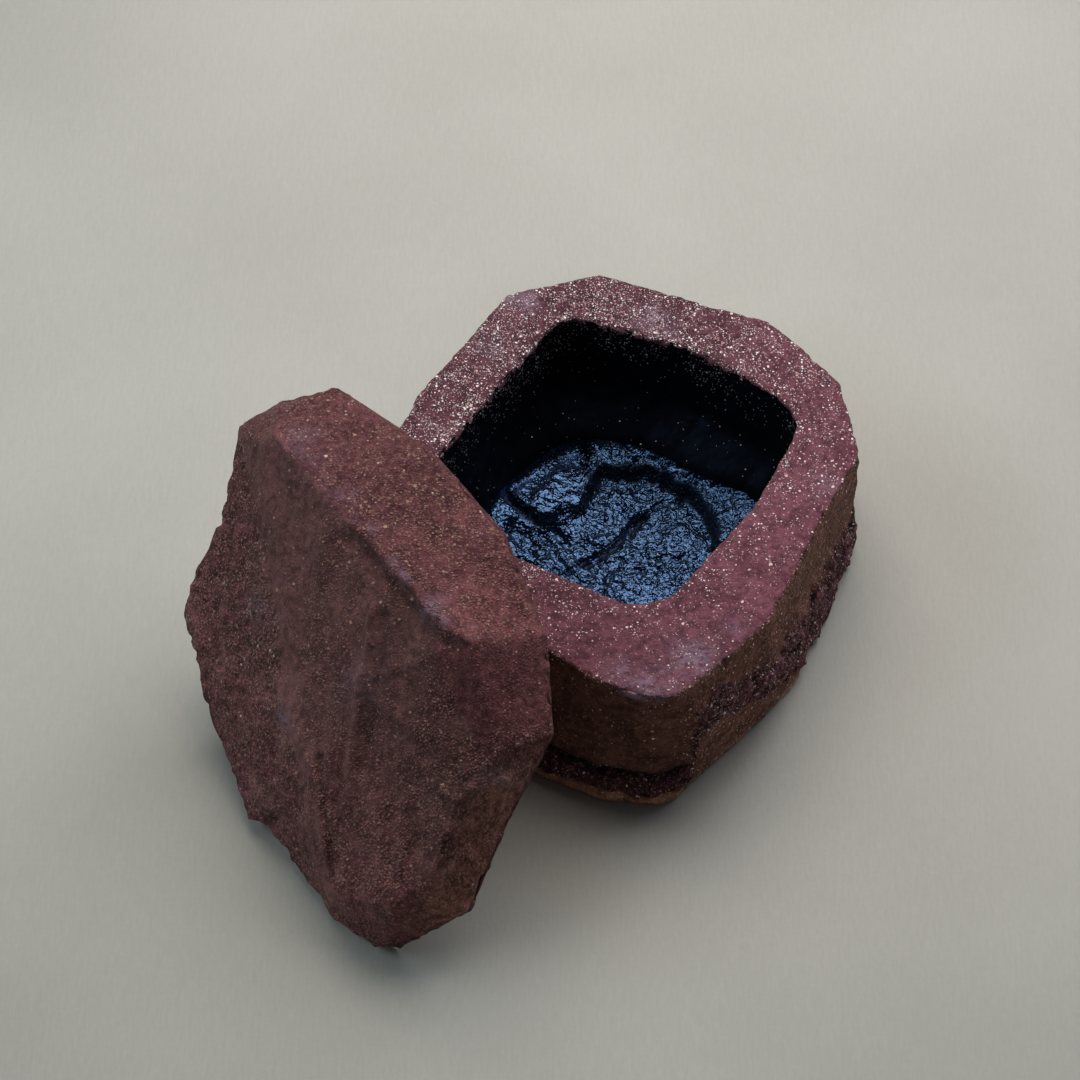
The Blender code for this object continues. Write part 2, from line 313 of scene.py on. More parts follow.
def rounded_outline(corners, steps=24):
    points = []
    count = len(corners)
    for i in range(count):
        corner = np.array(corners[i][:2])
        before = np.array(corners[i - 1][:2]) - corner
        after = np.array(corners[(i + 1) % count][:2]) - corner
        before /= np.linalg.norm(before)
        after /= np.linalg.norm(after)
        half = math.acos(float(before @ after)) / 2.0
        radius = corners[i][2]
        middle = before + after
        centre = corner + middle / np.linalg.norm(middle) * (radius / math.sin(half))
        reach_ = radius / math.tan(half)
        start = corner + before * reach_ - centre
        end = corner + after * reach_ - centre
        a0 = math.atan2(start[1], start[0])
        sweep = (math.atan2(end[1], end[0]) - a0) % (2.0 * math.pi)
        for k in range(steps + 1):
            a = a0 + sweep * k / steps
            points.append((centre[0] + radius * math.cos(a), centre[1] + radius * math.sin(a)))
    return np.array(points)


def reach(outline, centre, angles):
    """How far a closed outline is from a point inside it, along each angle."""
    p = np.asarray(outline, float) - centre
    a = np.arctan2(p[:, 1], p[:, 0])
    k = int(np.argmin(a))
    p, a = np.roll(p, -k, axis=0), np.roll(a, -k)
    p = np.vstack((p, p[:1]))
    a = np.append(a, a[0] + 2.0 * math.pi)
    t = (angles - a[0]) % (2.0 * math.pi) + a[0]
    i = np.clip(np.searchsorted(a, t, side="right") - 1, 0, len(p) - 2)
    q, e = p[i], p[i + 1] - p[i]
    c, s = np.cos(t), np.sin(t)
    return (q[:, 0] * e[:, 1] - q[:, 1] * e[:, 0]) / (c * e[:, 1] - s * e[:, 0])


def columns(points, total):
    """Shares a number of columns out along a closed outline, one on every corner."""
    p = np.asarray(points, float)
    length = np.linalg.norm(np.roll(p, -1, axis=0) - p, axis=1)
    count = np.maximum(2, np.round(length / length.sum() * total)).astype(int)
    while count.sum() != total:
        slack = length / count
        if count.sum() < total:
            count[int(np.argmax(slack))] += 1
        else:
            slack[count <= 2] = 1e9
            count[int(np.argmin(slack))] -= 1
    side = np.repeat(np.arange(len(p)), count)
    part = np.concatenate([np.arange(c) / c for c in count])
    return side, part


def along(values, side, part):
    v = np.asarray(values, float)
    w = part if v.ndim == 1 else part[:, None]
    return v[side] * (1.0 - w) + v[(side + 1) % len(v)] * w


# ---------------------------------------------------------------- skins

class Skin:
    """A closed skin of rings, from the middle of the underside, out, up and back in to the middle of the top."""

    def __init__(self):
        self.points, self.faces, self.marks = [], [], []
        self.count, self.last = 0, None

    def ring(self, points, kind, extra=0.0):
        points = np.asarray(points, float)
        n = len(points)
        start = self.count
        self.points.append(points)
        self.marks.append(np.column_stack((np.full(n, float(kind)), np.broadcast_to(extra, n))))
        self.count += n
        if self.last is not None:
            a, m = self.last
            i = np.arange(m)
            if m == 1:
                j = np.arange(n)
                self.faces.append(np.column_stack((np.full(n, a), start + (j + 1) % n, start + j)))
            elif m == n:
                j = (i + 1) % m
                self.faces.append(np.column_stack((a + i, a + j, start + j, start + i)))
            elif m == 2 * n:
                j = np.arange(n)
                k = (j + 1) % n
                self.faces.append(np.column_stack((a + 2 * j, a + 2 * j + 1, start + j)))
                self.faces.append(np.column_stack((a + 2 * j + 1, start + k, start + j)))
                self.faces.append(np.column_stack((a + 2 * j + 1, a + (2 * j + 2) % m, start + k)))
            elif n == 2 * m:
                j = (i + 1) % m
                self.faces.append(np.column_stack((a + i, start + 2 * i + 1, start + 2 * i)))
                self.faces.append(np.column_stack((a + i, a + j, start + 2 * i + 1)))
                self.faces.append(np.column_stack((a + j, start + (2 * i + 2) % n, start + 2 * i + 1)))
        self.last = (start, n)

    def close(self, point, kind):
        start = self.count
        a, m = self.last
        i = np.arange(m)
        self.points.append(np.asarray([point], float))
        self.marks.append(np.array([[float(kind), 0.0]]))
        self.count += 1
        self.faces.append(np.column_stack((a + i, a + (i + 1) % m, np.full(m, start))))

    def arrays(self):
        return np.vstack(self.points), np.vstack(self.marks)


def normals(points, faces):
    total = np.zeros_like(points)
    for f in faces:
        p = points[f]
        if f.shape[1] == 4:
            n = np.cross(p[:, 2] - p[:, 0], p[:, 3] - p[:, 1])
        else:
            n = np.cross(p[:, 1] - p[:, 0], p[:, 2] - p[:, 0])
        for k in range(f.shape[1]):
            for c in range(3):
                total[:, c] += np.bincount(f[:, k], n[:, c], len(points))
    length = np.linalg.norm(total, axis=1)
    return total / np.maximum(length, 1e-12)[:, None]


def make_mesh(name, points, faces, attributes, materials, slots):
    polygons = [row for block in faces for row in block.tolist()]
    mesh = bpy.data.meshes.new(name)
    mesh.from_pydata((points * MM).tolist(), [], polygons)
    for material in materials:
        mesh.materials.append(material)
    mesh.polygons.foreach_set("material_index", np.concatenate(slots).astype(np.int32))
    mesh.polygons.foreach_set("use_smooth", np.ones(len(polygons), bool))
    for key, values in attributes.items():
        attribute = mesh.attributes.new(key, "FLOAT", "POINT")
        attribute.data.foreach_set("value", np.clip(values, 0.0, 1.0).astype(np.float32))
    mesh.update()
    obj = bpy.data.objects.new(name, mesh)
    bpy.context.scene.collection.objects.link(obj)
    return obj


def spread(points, faces, rounds):
    """Evens a mesh out by moving every point towards the middle of its neighbours."""
    edges = []
    for f in faces:
        n = f.shape[1]
        for k in range(n):
            edges.append(f[:, (k, (k + 1) % n)])
    edges = np.vstack(edges)
    a, b = edges[:, 0], edges[:, 1]
    n = len(points)
    degree = np.bincount(a, minlength=n) + np.bincount(b, minlength=n)
    for _ in range(rounds):
        middle = np.empty_like(points)
        for c in range(3):
            middle[:, c] = (np.bincount(a, points[b, c], n) + np.bincount(b, points[a, c], n)) / degree
        points = points * 0.5 + middle * 0.5
    return points


# ---------------------------------------------------------------- box body

UNDER, WALL, RIM, CAVITY, FLOOR = range(5)
BODY_COLUMNS = 528


def body_skin():
    rim = np.array([(c[0], c[1]) for c in BODY_CORNERS])
    tangent = np.roll(rim, -1, axis=0) - np.roll(rim, 1, axis=0)
    tangent /= np.linalg.norm(tangent, axis=1)[:, None]
    out = np.column_stack((tangent[:, 1], -tangent[:, 0]))
    t = np.array(BODY_CORNERS)
    ledge = rim + t[:, 2:4]
    ledge_z = t[:, 4]
    groove = ledge - out * t[:, 5:6]
    tier = ledge + out * TIER_OUT
    foot = t[:, 6:8]
    base = foot - out * FOOT_IN
    side, part = columns(rim, BODY_COLUMNS)
    rings = [(base, np.zeros(20)), (foot, np.full(20, FOOT_HEIGHT)), (tier, ledge_z - TIER_DROP),
             (groove, ledge_z - GROOVE_DROP), (ledge, ledge_z), (rim, np.full(20, BODY_HEIGHT))]
    xy = [along(r[0], side, part) for r in rings]
    zz = [along(r[1], side, part) for r in rings]
    heights = np.array([0.0, 0.5] + list(np.linspace(1.0, 27.3, 55)) + [27.7, 27.93])
    wall = np.zeros((len(heights), BODY_COLUMNS, 3))
    for c in range(BODY_COLUMNS):
        z = np.array([v[c] for v in zz])
        wall[:, c, 0] = np.interp(heights, z, [v[c, 0] for v in xy])
        wall[:, c, 1] = np.interp(heights, z, [v[c, 1] for v in xy])
        wall[:, c, 2] = heights
    top = along(rim, side, part)
    inward = MOUTH_CENTRE - top
    inward /= np.linalg.norm(inward, axis=1)[:, None]
    wall[-2, :, :2] += inward * 0.05
    wall[-1, :, :2] += inward * 0.22

    skin = Skin()
    centre = np.array(MOUTH_CENTRE)
    bottom = wall[0, :, :2]
    for share, step in ((0.08, 8), (0.2, 8), (0.35, 4), (0.5, 2), (0.62, 2), (0.74, 1), (0.86, 1), (0.95, 1)):
        xy_ = centre + (bottom[::step] - centre) * share
        skin.ring(np.column_stack((xy_, np.full(len(xy_), 0.35 * (share < 0.9)))), UNDER, 1.0 - share)
    for row in wall:
        skin.ring(row, WALL)
    angle = np.arctan2(top[:, 1] - centre[1], top[:, 0] - centre[0])
    far = np.linalg.norm(top - centre, axis=1)

    def mouth(inset):
        return reach(rounded_outline(inset_corners(MOUTH_CORNERS, inset)), centre, angle)

    direction = np.column_stack((np.cos(angle), np.sin(angle)))
    edge = mouth(0.0)
    shares = np.concatenate(([0.035], np.linspace(0.07, 0.94, 25), [0.975]))
    for s in shares:
        r = (far + (edge - far) * s)
        skin.ring(np.column_stack((centre + direction * r[:, None],
                                   np.full(BODY_COLUMNS, BODY_HEIGHT))), RIM, s)
    # down the wall of the cavity, in steps of even length
    path = []
    for (z0, i0), (z1, i1) in zip(CAVITY_WALL[:-1], CAVITY_WALL[1:]):
        n = max(1, int(round(math.hypot(z1 - z0, i1 - i0) / 0.52)))
        path += [(z0 + (z1 - z0) * k / n, i0 + (i1 - i0) * k / n) for k in range(1, n + 1)]
    path = [step for step in path if step[0] > 8.5]
    floor_edge = reach(np.array(FLOOR_OUTLINE), centre, angle)
    for _ in range(6):
        floor_edge = (np.roll(floor_edge, 2) + 2.0 * floor_edge + np.roll(floor_edge, -2)) / 4.0
    levels = {i: mouth(i) for _, i in CAVITY_WALL}
    keys = sorted(levels)
    table = np.array([levels[i] for i in keys])

    def level(inset):
        k = min(int(np.searchsorted(keys, inset, side="right")) - 1, len(keys) - 2)
        w = (inset - keys[k]) / (keys[k + 1] - keys[k])
        return table[k] * (1.0 - w) + table[k + 1] * w

    skin.ring(np.column_stack((centre + direction * (edge - 0.02)[:, None],
                               np.full(BODY_COLUMNS, BODY_HEIGHT - 0.12))), CAVITY, 0.0)
    for z, inset in path:
        r = level(inset)
        turn = 1.0 - ease(z, 8.0, 17.5)
        r = r + (floor_edge - r) * turn ** 1.5
        skin.ring(np.column_stack((centre + direction * r[:, None], np.full(BODY_COLUMNS, z))),
                  CAVITY, 0.0)
    low = floor_edge
    rows = 50
    for k in range(1, rows):
        s = 1.0 - k / rows
        step = 1 if s > 0.80 else 2 if s > 0.38 else 4 if s > 0.19 else 8 if s > 0.09 else 16
        r = low[::step] * s
        xy_ = centre + direction[::step] * r[:, None]
        skin.ring(np.column_stack((xy_, np.full(len(xy_), 7.5 + 0.15 * ease(s, 0.93, 1.0)))), FLOOR, s)
    skin.close((centre[0], centre[1], 7.5), FLOOR)
    return skin, side, part


def build_body(clay, glazes):
    skin, side, part = body_skin()
    # the underside is closed with a fan of its own
    points, marks = skin.arrays()
    faces = list(skin.faces)
    n0 = len(skin.points[0])
    middle = np.array([[MOUTH_CENTRE[0], MOUTH_CENTRE[1], 0.35]])
    i = np.arange(n0)
    faces.append(np.column_stack((np.full(n0, len(points)), (i + 1) % n0, i)))
    points = np.vstack((points, middle))
    marks = np.vstack((marks, [[UNDER, 1.0]]))
    kind, extra = marks[:, 0], marks[:, 1]
    x, y, z = points.T
    wall = kind == WALL
    rim = kind == RIM
    cavity = kind == CAVITY
    floor = kind == FLOOR
    under = kind == UNDER

    # bands of the outer wall, from the angle round the box
    band_top = np.full(len(points), 12.0)
    band_low = np.zeros(len(points))
    share = np.zeros(len(points))
    corner = np.zeros(len(points))
    tops = along([b[0] for b in ROUGH_BAND], side, part)
    lows = along([b[1] for b in ROUGH_BAND], side, part)
    where = side + part
    count = int(wall.sum()) // BODY_COLUMNS
    band_top[wall] = np.tile(tops, count)
    band_low[wall] = np.tile(lows, count)
    corner[wall] = np.tile(where, count)

    wobble = noise(points, 2.6, 5, 2) * (0.9 + 0.9 * ease(x, 9.0, 16.0))
    rough = ease(z, band_low - 0.5 + wobble, band_low + 0.7 + wobble)
    rough *= 1.0 - ease(z, band_top - 0.6 + wobble, band_top + 0.6 + wobble)
    front = (corner > 10.6) & (corner < 14.6)
    rough = np.where(wall, rough, 0.0)
    foot = np.where(wall & front, 1.0 - ease(z, 2.4 + wobble, 3.8 + wobble), 0.0)
    low_right = wall & (corner >= 14.6) & (corner < 18.5)
    foot = np.where(low_right, (1.0 - ease(z, 0.9 + 0.5 * wobble, 2.2 + 0.5 * wobble)) * 0.9, foot)

    normal = normals(points, faces)
    shift = np.zeros(len(points))
    # slow waves of the knife on every face, and crumbly clay where it tore
    lumps, own = cells(points, 1.7, 40)
    fine, _ = cells(points, 1.05, 50)
    crumb = 0.30 * noise(points, 1.5, 21, 2) + 0.30 * (0.55 - lumps) * (own > 0.35) + 0.16 * (0.5 - fine)
    gentle = 0.15 * noise(points, (5.0, 5.0, 2.2), 11, 2) + 0.09 * noise(points, 1.3, 12, 2)
    cuts = 0.10 * noise(points, (9.0, 9.0, 0.9), 13, 2)
    shift = np.where(wall, gentle + cuts * (1.0 - rough) + (crumb * 2.1 + 0.30) * rough, shift)
    shift += np.where(wall, foot * (0.20 * noise(points, 1.1, 14, 2) - 0.02), 0.0)
    shift = np.where(rim, 0.09 * noise(points, 4.5, 15, 2) + 0.045 * noise(points, 1.3, 16, 2), shift)
    # nicks along the outer edge of the rim, and a crumbly inner edge
    chip = np.clip(noise(points, 1.8, 17, 2) - 0.1, 0.0, 1.0)
    near_edge = np.where(wall, ease(z, 26.6, 27.9), np.where(rim, 1.0 - ease(extra, 0.0, 0.10), 0.0))
    shift -= near_edge * (0.10 + 0.75 * chip)
    inner = np.where(rim, ease(extra, 0.90, 1.0), np.where(cavity, ease(z, 26.6, 27.9), 0.0))
    shift += inner * ((0.16 + 0.26 * ease(y - 0.4 * x, -8.0, 16.0)) * noise(points, 1.5, 18, 2) - 0.16)
    shift = np.where(cavity, shift + 0.16 * noise(points, 3.2, 19, 2) * (1 - inner), shift)
    shift = np.where(under, 0.06 * noise(points, 2.0, 20, 2), shift)
    shift = np.where(wall & (z < 0.3), 0.25 * noise(points, 1.4, 23, 2) - 0.15, shift)
    points = points + normal * shift[:, None]

    # the gouged floor
    x, y = points[:, 0], points[:, 1]
    low = np.where(floor, 1.0, np.where(cavity, 1.0 - ease(z, 8.2, 9.6), 0.0))
    flat = np.column_stack((x, y, 0.0 * x))
    bend_x = x + 0.45 * noise(flat, 2.2, 60, 2)
    bend_y = y + 0.45 * noise(flat, 2.2, 61, 2)
    edge = patch(bend_x, bend_y, LEDGE_EDGE)
    island = ease(-x, 3.0, 7.0) * ease(y, 5.0, 9.0)
    left = ease(-x - 0.35 * y, 0.0, 9.0) * (1.0 - ease(y, 6.0, 10.0))
    right = ease(x, -13.0, -5.0)
    soft = 0.9 + 1.9 * (1.0 - right)
    rise = -(1.6 + 1.3 * right - 0.5 * island) * ease(edge, -soft, soft)
    rise += 0.21 * np.clip(-edge - 0.7, 0.0, 3.2) * (1.0 - island) - 0.35
    rise -= 0.130 * (y - 14.0) * island * ease(-edge, -0.5, 1.0)
    rise -= 0.13 * (y + 2.0) * left
    rise += 0.22 * np.exp(-(line_distance(x, y, OUTER_LIP) / 1.0) ** 2) * (1.0 + 0.5 * noise(flat, 2.6, 62))
    # painted shade: the step down from the ledge and the deeper grooves are marked; these marks take a duller copy of
    # the glaze and a rougher sheen
    hollow_shade = np.where(floor, ease(0.05 + 1.20 * ease(x, -9.5, -4.0) - np.abs(edge + 0.1), 0.0, 0.75), 0.0)
    for line, height, width in FLOOR_RIDGES:
        rise += height * np.exp(-(line_distance(bend_x, bend_y, line) / width) ** 2)
    for line, depth, width in FLOOR_GROOVES:
        cut = depth * np.exp(-(line_distance(bend_x, bend_y, line) / width) ** 2)
        rise -= cut
        hollow_shade = np.where(floor, np.maximum(hollow_shade, ease(cut, 0.32, 1.0)), hollow_shade)
    # short ripples down the left side and towards the near corner
    turn = np.column_stack(((x * 0.80 + y * 0.60), (x * 0.60 - y * 0.80) / 4.5, 0.0 * x))
    rise += left * 1.05 * noise(turn, 1.35, 64, 2)
    rise += 0.26 * noise(flat, 5.0, 68)
    pits, own = cells(flat, 1.6, 70)
    rise += (0.16 * noise(flat, 2.6, 65) + 0.20 * noise(flat, 1.25, 66)) * (1.0 - 0.6 * island)
    rise -= 0.30 * (1.0 - ease(pits, 0.10, 0.42)) * (own > 0.45) * (1.0 - 0.7 * island)
    hollow_shade = hollow_shade - 0.75 * noise(flat, 1.1, 67, 2) * (hollow_shade > 0.02)
    points[:, 2] += rise * low
    points[:, 2] = np.maximum(points[:, 2], 0.0)

    # what the materials read
    x, y, z = points.T
    attributes = {}
    cloud = noise(points, 6.0, 80, 3)
    red = np.where(rim, 1.0, 0.0)
    red = np.where(wall, ease(z, 27.2, 28.0) * 0.7, red)
    red = np.where(wall & (rough > 0), np.maximum(red, np.where(front, 0.92, 0.68) * rough + 0.25 * cloud * rough), red)
    red = np.where(cavity | floor, 1.0, red)
    red = np.where(under, 0.35, red)
    attributes["red"] = red
    attributes["rough"] = np.where(wall, rough, np.where(rim, 0.35, 0.2))
    attributes["rust"] = foot
    attributes["sand"] = np.where(wall, np.clip(0.75 * rough + 0.4 * foot + 0.36 + 0.30 * ease(x, 8.0, 16.0), 0.0, 1.0), np.where(rim, 0.22, 0.0))
    # pale lilac patches on the rim and on the top of the outer wall
    lilac_and_painted_highlight = np.zeros(len(points))
    for cx, cy, radius, amount in ((-15.2, 41.2, 2.2, 0.9), (-18.4, 41.5, 1.6, 0.7), (6.2, 36.4, 3.0, 0.95),
                                   (8.6, 34.2, 2.2, 0.5), (3.6, -45.2, 4.2, 0.95), (11.8, -39.6, 3.6, 0.9),
                                   (-0.3, -42.4, 2.6, 0.6), (-22.0, 30.5, 2.4, 0.5), (35.0, -2.0, 3.0, 0.35),
                                   (-32.5, -12.0, 4.0, 0.4), (18.5, -33.0, 2.2, 0.35)):
        lilac_and_painted_highlight = np.maximum(lilac_and_painted_highlight, amount * spot(x, y, cx, cy, radius))
    lilac_and_painted_highlight = np.where(rim | (wall & (z > 26.8)), lilac_and_painted_highlight * np.clip(1.0 + 0.9 * noise(points, 2.2, 81, 2), 0.0, 1.3), 0.0)
    attributes["lilac_and_painted_highlight"] = lilac_and_painted_highlight
    back = ease(y * 0.8 - x * 0.35, -34.0, 18.0)
    grain = np.where(rim, 0.19 + 0.46 * back + 0.20 * ease(extra, 0.45, 1.0), 0.0)
    grain = np.where(wall, 0.06 + (0.12 + 0.16 * (z < band_low + 1.0)) * ease(x, 8.0, 16.0) + np.where(front, 0.15, 0.22) * rough + 0.26 * foot + 0.4 * ease(z, 27.0, 28.0), grain)
    far_edge = ease(y - 0.6 * x, -6.0, 16.0)
    grain = np.where(cavity, 0.25 + 0.60 * far_edge, grain)
    attributes["grain"] = grain
    # black glaze: everything below a wandering line just inside the mouth
    line = 27.45 + 0.55 * noise(points, 2.0, 82, 2) - 0.9 * far_edge * np.clip(noise(points, 1.0, 84, 2), 0.0, 1.0)
    soot = np.where(cavity, 1.0 - ease(z, line - 0.5, line + 0.35), 0.0)
    broken = 0.25 + 0.75 * far_edge + 0.6 * noise(points, 1.1, 83, 2)
    soot = np.where(rim, ease(extra, 0.975 - 0.055 * far_edge, 1.0) * broken, soot)
    soot = np.where(floor, 1.0, soot)
    attributes["soot"] = soot
    attributes["pool"] = low * (1.0 - 0.30 * island * ease(-edge, -0.2, 0.8))
    # painted light: the right-hand walls, the foot, the front's rough band and the front and right of the rim are
    # lightened in colour; inside the cavity the same values set how densely dust specks lie on the glaze
    front_side = 1.0 - ease(y * 0.8 - x * 0.35, -34.0, 10.0)
    painted_light_lift = np.maximum(ease(x, 8.0, 18.0) * (1.0 - 0.5 * ease(z, band_top, band_top + 1.5)), foot)
    painted_light_lift = np.where(wall, np.maximum(painted_light_lift, np.where(front, 0.55 * rough, 0.0)), 0.0)
    painted_light_lift = np.where(rim, np.clip(0.72 * front_side + 0.60 * ease(x, 8.0, 30.0), 0.0, 1.0), painted_light_lift)
    attributes["dust_and_painted_light"] = np.where(cavity, ease(z, 15.0, 28.0) * (0.55 + 0.45 * far_edge), painted_light_lift)
    # painted shade: a dark line along the groove at the top of the front's rough band, and dark crevices in the rough
    # clay; the front's rough band between 3.5 and 8 mm up is darkened as well
    painted_shade = np.where(wall & front, 0.85 * np.exp(-((z - (band_top + 0.1)) / 0.75) ** 2), 0.0)
    painted_shade = np.where(wall & front & (z > 3.5) & (z < 8.0), np.maximum(painted_shade, 0.45), painted_shade)
    painted_shade = np.where(wall, np.maximum(painted_shade, rough * np.where(front, 0.65, 1.0) * np.clip(-4.2 * crumb + 0.12, 0.0, 0.95)), painted_shade)
    attributes["painted_shade"] = np.where(floor, hollow_shade, painted_shade)

    # the cavity's walls take the copy of the glaze with almost no reflection, and the marked hollows of the floor take
    # the duller copy: both painted shade
    slots = []
    soft = soot
    for f in faces:
        glazed = (soft[f].mean(axis=1) > 0.5) & ((cavity | floor)[f].any(axis=1))
        on_floor = floor[f].any(axis=1)
        slots.append(np.where(glazed, np.where(on_floor, np.where(hollow_shade[f].mean(axis=1) > 0.5, 3, 1), 2), 0))
    return make_mesh("stoneware_box", points, faces, attributes, [clay, *glazes], slots)


# ---------------------------------------------------------------- lid

BOSS_END, BOSS_SIDE, FLAT, GIRDLE, FACET, TOP = range(10, 16)
LID_COLUMNS = 512


def to_lid(points):
    d = np.asarray(points) - CLOSED_AT
    c, s = math.cos(CLOSED_TURN), math.sin(CLOSED_TURN)
    return np.column_stack((c * d[:, 0] + s * d[:, 1] + CLOSED_PIVOT[0],
                            -s * d[:, 0] + c * d[:, 1] + CLOSED_PIVOT[1]))


def lean(points):
    u = np.array((math.cos(LEAN_HEADING), math.sin(LEAN_HEADING), 0.0))
    level = np.array((-u[1], u[0], 0.0))
    w = level * math.cos(LEAN_TILT) + np.array((0.0, 0.0, math.sin(LEAN_TILT)))
    n = np.cross(u, w)
    return np.array(LEAN_AT) + points[:, :1] * u + points[:, 1:2] * w + points[:, 2:3] * n


def build_lid(clay):
    t = np.array(LID_CORNERS)
    girdle, crest = t[:, :3], t[:, 3:]
    under = np.column_stack((t[:, 0], np.maximum(t[:, 1], 0.0), np.zeros(len(t))))
    mid = (girdle[:, :2] + crest[:, :2]) / 2.0
    side, part = columns(mid, LID_COLUMNS)
    g, c, u = along(girdle, side, part), along(crest, side, part), along(under, side, part)
    centre = np.array(LID_CENTRE)
    angle = np.arctan2(u[:, 1] - centre[1], u[:, 0] - centre[0])
    direction = np.column_stack((np.cos(angle), np.sin(angle)))
    far = np.linalg.norm(u[:, :2] - centre, axis=1)

    def boss(inset):
        return reach(to_lid(rounded_outline(inset_corners(MOUTH_CORNERS, inset))), centre, angle)

    low, high = boss(BOSS_CLEARANCE + BOSS_TAPER), boss(BOSS_CLEARANCE)
    skin = Skin()
    for share, step in ((0.05, 16), (0.12, 8), (0.2, 8), (0.3, 4), (0.4, 4), (0.5, 2), (0.58, 2), (0.66, 2),
                        (0.74, 2), (0.82, 2), (0.89, 2), (0.95, 1), (0.985, 1)):
        xy = centre + direction[::step] * (low[::step] * share)[:, None]
        skin.ring(np.column_stack((xy, np.full(len(xy), -BOSS_DEPTH))), BOSS_END, share)
    for k in range(1, 15):
        s = k / 15.0
        r = low + (high - low) * s
        skin.ring(np.column_stack((centre + direction * r[:, None], np.full(LID_COLUMNS, -BOSS_DEPTH * (1.0 - s)))),
                  BOSS_SIDE, s)
    for s in np.concatenate((np.linspace(0.0, 0.96, 18), [0.985])):
        r = high + (far - high) * s
        skin.ring(np.column_stack((centre + direction * r[:, None], np.zeros(LID_COLUMNS))), FLAT, s)
    for s in (0.05, 0.2, 0.36, 0.52, 0.68, 0.84, 1.0):
        skin.ring(u + (g - u) * s, GIRDLE, s)
    for k in range(1, 35):
        skin.ring(g + (c - g) * (k / 34.0), FACET, k / 34.0)
    peak = np.array(LID_TOP)
    # the dip towards the low right corner only starts near the edge
    sag = 1.0 + 1.8 * ease(1.0 - np.abs(side + part - 10.0), 0.0, 0.8)
    rows = 66
    for k in range(1, rows):
        s = 1.0 - k / rows
        step = 1 if s > 0.55 else 2 if s > 0.26 else 4 if s > 0.12 else 8 if s > 0.05 else 16
        row = peak + (c[::step] - peak) * s
        row[:, 2] = peak[2] + (c[::step, 2] - peak[2]) * s ** sag[::step]
        skin.ring(row, TOP, s)
    skin.close(peak, TOP)
    points, marks = skin.arrays()
    faces = list(skin.faces)
    n0 = len(skin.points[0])
    i = np.arange(n0)
    faces.append(np.column_stack((np.full(n0, len(points)), (i + 1) % n0, i)))
    points = np.vstack((points, [[centre[0], centre[1], -BOSS_DEPTH]]))
    marks = np.vstack((marks, [[BOSS_END, 0.0]]))
    kind, extra = marks.T
    facet, top = kind == FACET, kind == TOP
    outside = facet | top
    girdle_ = kind == GIRDLE
    hidden = kind <= FLAT
    soft = np.where(outside[:, None], spread(points, faces, 3), points)
    points = soft

    a, b, h = points.T
    red_line = np.interp(a, [p[0] for p in RED_EDGE], [p[1] for p in RED_EDGE])
    wander = 0.5 * noise(points, 2.4, 101, 2)
    red_facet = ease(b - red_line + wander, -0.35, 0.45) * (outside | girdle_)
    red_facet = np.where(b < 49.0, 0.0, red_facet)
    dark_red = ease(patch(a, b, DARK_RED) + wander, -0.8, 1.2) * outside * (1.0 - red_facet)

    # rough torn strip along the left, where the first cut ran out
    left_edge = np.interp(b, [0.0, 12.9, 17.5, 21.1, 30.7, 34.9, 40.0, 46.0, 52.0],
                          [15.0, 12.1, 7.5, 0.4, -7.8, -13.1, -21.7, -29.0, -45.0])
    left = ease(left_edge - a + 1.6 * wander, -1.5, 2.5) * (b < 56) * outside
    smooth_top = ease(patch(a, b, [(-36.0, 51.0), (-28.0, 56.6), (-13.8, 54.5), (-8.0, 47.0), (-22.0, 44.0), (-30.0, 45.5)])
                      + wander, -1.0, 2.0)
    left = left * (1.0 - 0.8 * smooth_top)
    steep = ease(a - np.interp(b, [5.0, 15.1, 21.0, 31.5, 40.3], [38.0, 39.0, 38.5, 36.0, 38.0]) + wander, -0.8, 0.8) \
        * outside * (b < 44)
    grainy = ease(a * 0.85 - (b - 30.0) * 0.55 + 3.0 * wander, 15.0, 27.0) * outside * (1.0 - red_facet)

    normal = normals(points, faces)
    across = (a * 0.89 + b * 0.46)
    length = (a * 0.46 - b * 0.89)
    stroke = np.column_stack((across, length / 14.0, 0.0 * a))
    cut = noise(stroke, 1.5, 102, 2)
    wide = noise(np.column_stack((across, length / 8.0, 0.0 * a)), 5.0, 103, 2)
    lumps, own = cells(points, 1.7, 110)
    fine, _ = cells(points, 1.05, 120)
    crumb = 0.26 * noise(points, 1.5, 104, 2) + 0.28 * (0.55 - lumps) * (own > 0.35) + 0.16 * (0.5 - fine)
    torn = np.clip(left * 1.35 + 0.45 * grainy + 0.45 * steep, 0.0, 1.35)
    main = outside * (1.0 - red_facet) * (1.0 - left)
    shift = outside * (0.14 * noise(points, 5.0, 105, 2) + 0.045 * noise(points, 1.1, 106))
    shift += main * (0.17 * cut + 0.34 * wide)
    shift += torn * crumb * outside
    shift += red_facet * (0.10 * noise(points, 1.6, 107, 2) + 0.05)
    for line, height, width in LID_RIDGES:
        d = line_distance(a + 0.3 * wander, b + 0.3 * wander, line)
        shift += outside * height * np.exp(-(d / width) ** 2)
    for line, depth, width in LID_GROOVES:
        d = line_distance(a + 0.35 * wander, b + 0.35 * wander, line)
        shift -= outside * (1.0 - red_facet) * depth * np.exp(-(d / width) ** 2)
    shift = np.where(girdle_, 0.22 * noise(points, 1.8, 108, 2) - 0.05, shift)
    chip = np.clip(noise(points, 1.9, 109, 2) - 0.05, 0.0, 1.0)
    edge = np.where(girdle_, 1.0, np.where(facet, 1.0 - ease(extra, 0.0, 0.14), 0.0))
    shift -= edge * (0.12 + 0.55 * chip)
    shift = np.where(kind == FLAT, 0.08 * noise(points, 4.0, 111, 2) + 0.05 * noise(points, 1.4, 112), shift)
    shift = np.where(kind == BOSS_SIDE, 0.16 * noise(points, 2.2, 113, 2), shift)
    shift = np.where(kind == BOSS_END, 0.07 * noise(points, 2.4, 114, 2) - 0.06, shift)
    points = points + normal * shift[:, None]

